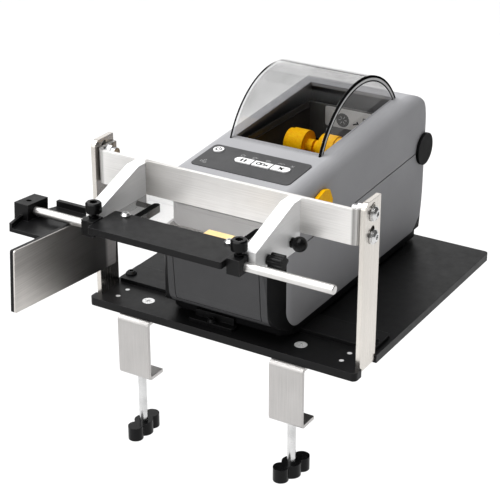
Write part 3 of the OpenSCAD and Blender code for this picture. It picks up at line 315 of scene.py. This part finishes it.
ANODISED = moulded("anodised_black", grey(0.005, 0.0003), grey(0.008, 0.0004), (0.32, 0.44),
                   grain=1900, depth=0.1, edge_wear_and_highlight=grey(0.07, 0.002), Specular_IOR_Level=0.14)
PLATE_STEEL = brushed("steel_across", (0.74, 0.725, 0.705), (0.94, 0.925, 0.91), (0.42, 0.54), along=X,
                      painted_light=crossbar_shade_and_reflections, Metallic=0.75)
POST_STEEL = brushed("steel_upright", (0.57, 0.54, 0.50), (0.70, 0.665, 0.62), (0.20, 0.30), along=Z)
BRACKET_STEEL = brushed("steel_bracket", (0.41, 0.40, 0.39), (0.54, 0.525, 0.515), (0.34, 0.46), along=Z)
STOP_STEEL = brushed("steel_lengthwise", (0.48, 0.46, 0.435), (0.72, 0.69, 0.66), (0.32, 0.44), along=Y,
                     fine=1100, depth=0.08, edge=0.2, painted_light=stop_plate_shade)
ALUMINIUM = brushed("aluminium_milled", grey(0.80), grey(0.88), (0.34, 0.46), along=Y, depth=0.06,
                    Metallic=0.2)
SCREW_STEEL = polished("screw_plated", grey(0.54), grey(0.72), (0.18, 0.32))
HEAD_STEEL = polished("screw_head", grey(0.82), grey(0.92), (0.34, 0.46), Metallic=0.45)
ROD_STEEL = polished("rod_ground", (0.60, 0.59, 0.575), (0.70, 0.69, 0.675), (0.32, 0.42))
DARK_STEEL = polished("nut_black_oxide", grey(0.28, 0.005), grey(0.40, 0.005), (0.2, 0.35))
KNOB = moulded("knob_black", grey(0.003, 0.0002), grey(0.005, 0.0003), (0.18, 0.28), depth=0.06,
               edge_wear_and_highlight=grey(0.02, 0.001), Specular_IOR_Level=0.14)
DISC = moulded("cap_black", grey(0.006, 0.0003), grey(0.009, 0.0004), (0.4, 0.5), Specular_IOR_Level=0.03)
RUBBER = moulded("rubber_black", grey(0.011), grey(0.02), (0.6, 0.75), grain=1400, depth=0.25)
HOUSING = moulded("housing_grey", grey(0.325, 0.013), grey(0.352, 0.013), (0.50, 0.60),
                  Specular_IOR_Level=0.08)
FRONT = moulded("front_charcoal", grey(0.042, 0.002), grey(0.052, 0.002), (0.42, 0.52),
                Specular_IOR_Level=0.25)
PANEL = moulded("panel_charcoal", grey(0.045, 0.002), grey(0.055, 0.002), (0.42, 0.52),
                Specular_IOR_Level=0.25)
SKIRT = moulded("skirt_black", grey(0.005, 0.0004), grey(0.008, 0.0004), (0.42, 0.54),
                Specular_IOR_Level=0.06)
LINER = moulded("liner_dark", (0.070, 0.069, 0.067), (0.095, 0.094, 0.092), (0.3, 0.42),
                Specular_IOR_Level=0.3)
YELLOW = moulded("touch_yellow", (0.90, 0.40, 0.001), (1.0, 0.58, 0.003), (0.45, 0.55), cloud=420, grain=1200,
                 depth=0.3, Specular_IOR_Level=0.05)
AMBER = moulded("amber_film", (0.78, 0.54, 0.22), (0.86, 0.62, 0.28), (0.25, 0.35), depth=0.03)
WHITE = moulded("button_white", grey(0.80), grey(0.88), (0.32, 0.42), depth=0.04)
INK = moulded("ink_black", grey(0.006), grey(0.010), (0.5, 0.6), edge=0, Specular_IOR_Level=0.1)
PALE_INK = moulded("ink_pale", grey(0.30), grey(0.36), (0.5, 0.6), edge=0)
STICKER = moulded("sticker_grey", grey(0.66), grey(0.74), (0.4, 0.5), edge=0)
GEAR = moulded("gear_white", (0.72, 0.71, 0.68), (0.80, 0.79, 0.76), (0.4, 0.5))
ACRYLIC = clear_sheet("clear_acrylic", power=2.2, shine=(0.62, 0.61, 0.60), smoke=(0.03, 0.03),
                      heights=(0.0, 1.0), painted_light=acrylic_highlight_and_shade)
SMOKED = clear_sheet("smoked_window", power=5.0, shine=(0.85, 0.84, 0.83), smoke=(0.07, 0.17),
                     heights=(140 * MM, 164 * MM), painted_light=window_shade_and_highlight)

FINISHES = {
    ANODISED: ("base_plate", "label_table", "rod_block_left", "rod_block_right", "front_clip", "plate_bolts",
               "stop_carriage", "clamp_pad_left", "clamp_pad_right", "printer_bar"),
    RUBBER: ("rubber_feet", "platen_roller"),
    POST_STEEL: ("post_left", "post_right"),
    BRACKET_STEEL: ("clamp_bracket_left", "clamp_bracket_right"),
    PLATE_STEEL: ("crossbar",),
    HEAD_STEEL: ("plate_screws",),
    SCREW_STEEL: ("crossbar_bolts", "gusset_screws", "table_screws", "clamp_screw_left",
                  "clamp_screw_right", "clamp_bushes", "motor_pinion", "feed_motor"),
    DARK_STEEL: ("crossbar_nuts",),
    ALUMINIUM: ("gusset_left", "gusset_right"),
    ROD_STEEL: ("guide_rod",),
    STOP_STEEL: ("stop_plate",),
    KNOB: ("clamp_knob_left", "clamp_knob_right", "plate_knob_front_left", "plate_knob_front_right",
           "plate_knob_rear_left", "plate_knob_rear_right", "rod_knob_left", "rod_knob_right"),
    DISC: ("hinge_caps",),
    HOUSING: ("printer_lid", "lower_housing"),
    FRONT: ("front_panel", "front_bezel"),
    PANEL: ("control_panel",),
    SKIRT: ("printer_base", "rear_ports", "print_head"),
    YELLOW: ("latch_left", "latch_right", "roll_holder_left", "roll_holder_right"),
    AMBER: ("amber_strip",),
    WHITE: ("power_button", "pause_button", "feed_button", "cancel_button"),
    GEAR: ("platen_gear",),
    ACRYLIC: ("clear_plate",),
    SMOKED: ("media_window",),
}


def dress(thing, material):
    thing.data.materials.clear()
    thing.data.materials.append(material)


for material, names in FINISHES.items():
    for name in names:
        dress(nodes[name], material)


# Flat outlines of signs and plates, drawn in millimetres
def bar(x, y, w, h, turn=0.0):
    c = math.cos(math.radians(turn))
    s = math.sin(math.radians(turn))
    corners = ((-w, -h), (w, -h), (w, h), (-w, h))
    return [[(x + (a * c - b * s) / 2, y + (a * s + b * c) / 2) for a, b in corners]]


def ring(x, y, r, width, start=0.0, end=360.0, steps=24):
    angles = [math.radians(start + (end - start) * i / steps) for i in range(steps + 1)]
    points = [(math.cos(angle), math.sin(angle)) for angle in angles]
    inner = r - width / 2
    outer = r + width / 2
    return [[(x + p[X] * inner, y + p[Y] * inner), (x + p[X] * outer, y + p[Y] * outer),
             (x + q[X] * outer, y + q[Y] * outer), (x + q[X] * inner, y + q[Y] * inner)]
            for p, q in zip(points, points[1:])]


def disc(x, y, r, steps=24):
    angles = [2 * math.pi * i / steps for i in range(steps)]
    return [[(x + r * math.cos(angle), y + r * math.sin(angle)) for angle in angles]]


def frame_box(x, y, w, h, width):
    return (bar(x, y + h / 2, w + width, width) + bar(x, y - h / 2, w + width, width)
            + bar(x - w / 2, y, width, h) + bar(x + w / 2, y, width, h))


def rounded(x, y, w, h, r, steps=6):
    points = []
    for i, (a, b) in enumerate(((1, 1), (-1, 1), (-1, -1), (1, -1))):
        center_x = x + a * (w / 2 - r)
        center_y = y + b * (h / 2 - r)
        for k in range(steps + 1):
            angle = math.pi / 2 * (i + k / steps)
            points.append((center_x + r * math.cos(angle), center_y + r * math.sin(angle)))
    return [points]


def prisms(name, body, material, outlines, place, levels):
    """Prisms between two levels over flat outlines, placed by a matrix and carried by a body."""
    shape = bmesh.new()
    for outline in outlines:
        low, high = [[shape.verts.new(place @ Vector((a * MM, b * MM, level * MM))) for a, b in outline]
                     for level in levels]
        shape.faces.new(low[::-1])
        shape.faces.new(high)
        for i in range(len(outline)):
            k = (i + 1) % len(outline)
            shape.faces.new((low[i], low[k], high[k], high[i]))
    mesh = bpy.data.meshes.new(name)
    shape.to_mesh(mesh)
    shape.free()
    piece = bpy.data.objects.new(name, mesh)
    scene.collection.objects.link(piece)
    dress(piece, material)
    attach(piece, body)


# Signs on the buttons and the control panel
LID_SLOPE = math.radians(4.2)
PANEL_Y = 54 * MM
panel_low, panel_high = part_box("control_panel")
panel_z = (panel_low[Z] + panel_high[Z]) / 2
ON_PANEL = Matrix.Translation((0.0, PANEL_Y, panel_z)) @ Matrix.Rotation(LID_SLOPE, 4, "X")
BUTTON_INK = (1.39, 1.44)
PANEL_INK = (0.59, 0.62)

BUTTON_SIGNS = {
    "power": ring(-37, 11, 2.3, 1.1, 125, 415) + bar(-37, 12.9, 1.1, 2.6),
    "pause": bar(-9.8, 2, 1.8, 4.6) + bar(-6.6, 2, 1.8, 4.6),
    "feed": (ring(5.6, 2.2, 1.8, 1.1) + frame_box(9.3, 2.2, 2.8, 2.6, 1.0)
             + bar(12.5, 1.8, 3.0, 1.2, 35) + bar(13.1, 1.4, 1.2, 2.8, 35)),
    "cancel": bar(26, 2, 1.5, 5.8, 42) + bar(26, 2, 1.5, 5.8, -42),
}
for name, sign in BUTTON_SIGNS.items():
    prisms(name + "_sign", name + "_button_unit", INK, sign, ON_PANEL, BUTTON_INK)

STATUS_SIGNS = (
    ring(-14, 10.5, 1.4, 0.4, 40, 320) + bar(-12.2, 10.5, 0.4, 2.4)
    + ring(-3, 10.5, 1.5, 0.4) + bar(-1.2, 11.4, 1.8, 0.4, 30)
    + frame_box(9, 10.5, 2.4, 2.0, 0.4) + bar(11.4, 10.2, 0.4, 2.6)
    + ring(20, 10.1, 1.3, 0.4, 0, 180) + ring(23, 10.1, 1.3, 0.4, 0, 180)
    + bar(31, 10.9, 0.4, 2.2, 25) + bar(32.2, 10.9, 0.4, 2.2, -25) + bar(31.6, 9.6, 2.6, 0.4)
    + frame_box(-38.5, -12, 2.0, 2.0, 0.4) + frame_box(-35.2, -13.4, 2.2, 1.8, 0.4)
    + ring(-36.6, -9.6, 1.0, 0.4)
)
prisms("status_signs", "lid_unit", PALE_INK, STATUS_SIGNS, ON_PANEL, PANEL_INK)


# Liner of the media bay
def upright(x, y, turn):
    """Matrix of a wall: its own x runs along the wall, its y upwards."""
    return (Matrix.Translation((x * MM, y * MM, 0.0)) @ Matrix.Rotation(math.radians(turn), 4, "Z")
            @ Matrix.Rotation(math.radians(90), 4, "X"))


BAY_HALF = 42.2
BAY_FRONT = 96.0
BAY_BACK = 222.0
LINER_LOW = 98.0
LINER_HIGH = 131.0
LINER_T = 2
BACK_GAP = 4.2
LEDGE_DROP = 5
LEDGE_H = 1.4
LEDGE_SHORT = 6
bay_length = BAY_BACK - BAY_FRONT
bay_middle = (BAY_FRONT + BAY_BACK) / 2
liner_h = LINER_HIGH - LINER_LOW
liner_middle = (LINER_LOW + LINER_HIGH) / 2
ON_LEFT = upright(-BAY_HALF, bay_middle, 90)
ON_RIGHT = upright(BAY_HALF, bay_middle, -90)
ON_BACK = upright(0, BAY_BACK, 0)

side_wall = bar(0, liner_middle, bay_length, liner_h)
back_wall = bar(0, liner_middle, 2 * BAY_HALF - BACK_GAP, liner_h)
ledge = bar(0, LINER_HIGH - LEDGE_DROP, bay_length - LEDGE_SHORT, LEDGE_H)
prisms("liner_left", "lid_unit", LINER, side_wall, ON_LEFT, (0, LINER_T))
prisms("liner_right", "lid_unit", LINER, side_wall, ON_RIGHT, (0, LINER_T))
prisms("liner_back", "lid_unit", LINER, back_wall, ON_BACK, (0, LINER_T))
prisms("liner_ledge_left", "lid_unit", FRONT, ledge, ON_LEFT, (LINER_T, LINER_T + 1))
prisms("liner_ledge_right", "lid_unit", FRONT, ledge, ON_RIGHT, (LINER_T, LINER_T + 1))

# Bare instruction plate on the liner's back
PLATE_Z = 121.0
DISC_X = -6.6
DISC_Z = PLATE_Z - 1.5
DISC_R = 6.4
SPOKE_R = 2.8
PLATE_LEVELS = (LINER_T, 2.3)
INK_LEVELS = (2.3, 2.4)
SPOKE_LEVELS = (2.4, 2.45)
spokes = []
for turn in range(0, 360, 60):
    spoke_x = DISC_X + SPOKE_R * math.cos(math.radians(turn))
    spoke_z = DISC_Z + SPOKE_R * math.sin(math.radians(turn))
    spokes += bar(spoke_x, spoke_z, 0.4, 2.4, turn - 90)
plate_marks = (bar(6, PLATE_Z - 3, 5, 1.2, 20) + bar(8.4, PLATE_Z - 2.2, 1.2, 4, 30)
               + frame_box(17, PLATE_Z + 1, 7, 5, 0.7))
prisms("bay_plate", "lid_unit", STICKER, rounded(2, PLATE_Z, 52, 18, 2), ON_BACK, PLATE_LEVELS)
prisms("bay_plate_disc", "lid_unit", INK, disc(DISC_X, DISC_Z, DISC_R), ON_BACK, INK_LEVELS)
prisms("bay_plate_spokes", "lid_unit", STICKER, spokes, ON_BACK, SPOKE_LEVELS)
prisms("bay_plate_marks", "lid_unit", INK, plate_marks, ON_BACK, INK_LEVELS)

# Camera at the photograph's viewing angle
AZIMUTH = math.radians(31.31)
ELEVATION = math.radians(25.22)
TARGET = Vector((-29.06, 100.0, 36.17)) * MM
DISTANCE = 1270.94 * MM
level = math.cos(ELEVATION)
back = Vector((math.sin(AZIMUTH) * level, -math.cos(AZIMUTH) * level, math.sin(ELEVATION)))
right = Vector((math.cos(AZIMUTH), math.sin(AZIMUTH), 0.0))
camera_data = bpy.data.cameras.new("camera")
camera_data.sensor_width = 36
camera_data.lens = 108
camera_data.clip_end = 1000
camera = bpy.data.objects.new("camera", camera_data)
camera.matrix_world = (Matrix.Translation(TARGET + back * DISTANCE)
                       @ Matrix((right, back.cross(right), back)).transposed().to_4x4())
scene.collection.objects.link(camera)
scene.camera = camera

# Pale floor, a table's height below the part, which hangs at a table's edge
TABLE_H = 0.72
HALF = 400.0
corners = [(x * HALF, y * HALF, -TABLE_H) for x, y in ((-1, -1), (1, -1), (1, 1), (-1, 1))]
floor_mesh = bpy.data.meshes.new("floor")
floor_mesh.from_pydata(corners, [], [(0, 1, 2, 3)])
floor = bpy.data.objects.new("floor", floor_mesh)
dress(floor, moulded("floor_paper", grey(0.66), grey(0.69), (0.85, 0.95), edge=0, Specular_IOR_Level=0.1))
scene.collection.objects.link(floor)


# Soft studio light
def aimed(name, kind, place, power):
    """Lamp that points at the origin."""
    data = bpy.data.lights.new(name, kind)
    data.energy = power
    lamp = bpy.data.objects.new(name, data)
    lamp.location = place
    lamp.rotation_euler = (-Vector(place)).to_track_quat("-Z", "Y").to_euler()
    scene.collection.objects.link(lamp)
    return data


def softbox(name, place, width, height, power):
    data = aimed(name, "AREA", place, power)
    data.shape = "RECTANGLE"
    data.size = width
    data.size_y = height


overhead = aimed("overhead", "SUN", (-0.48, -0.35, 1.5), 4.65)
overhead.angle = math.radians(70)
softbox("front", (-0.7, -1.7, 0.6), 2.0, 1.0, 12)
softbox("behind", (-1.4, 2.4, 1.3), 2.5, 1.5, 14)

# The room: a dim fill light, and a backdrop as pale as the floor where the camera sees past it
FILL_LIGHT = 0.12
BACKDROP = 0.98
world = bpy.data.worlds.new("studio")
world.use_nodes = True
background = world.node_tree.nodes["Background"]
background.inputs["Color"].default_value = (1.0, 1.0, 1.0, 1.0)
fill = world.node_tree.nodes.new("ShaderNodeMapRange")
fill.inputs["To Min"].default_value = FILL_LIGHT
fill.inputs["To Max"].default_value = BACKDROP
path = world.node_tree.nodes.new("ShaderNodeLightPath")
world.node_tree.links.new(path.outputs["Is Camera Ray"], fill.inputs["Value"])
world.node_tree.links.new(fill.outputs["Result"], background.inputs["Strength"])
scene.world = world
scene.view_settings.view_transform = "Standard"
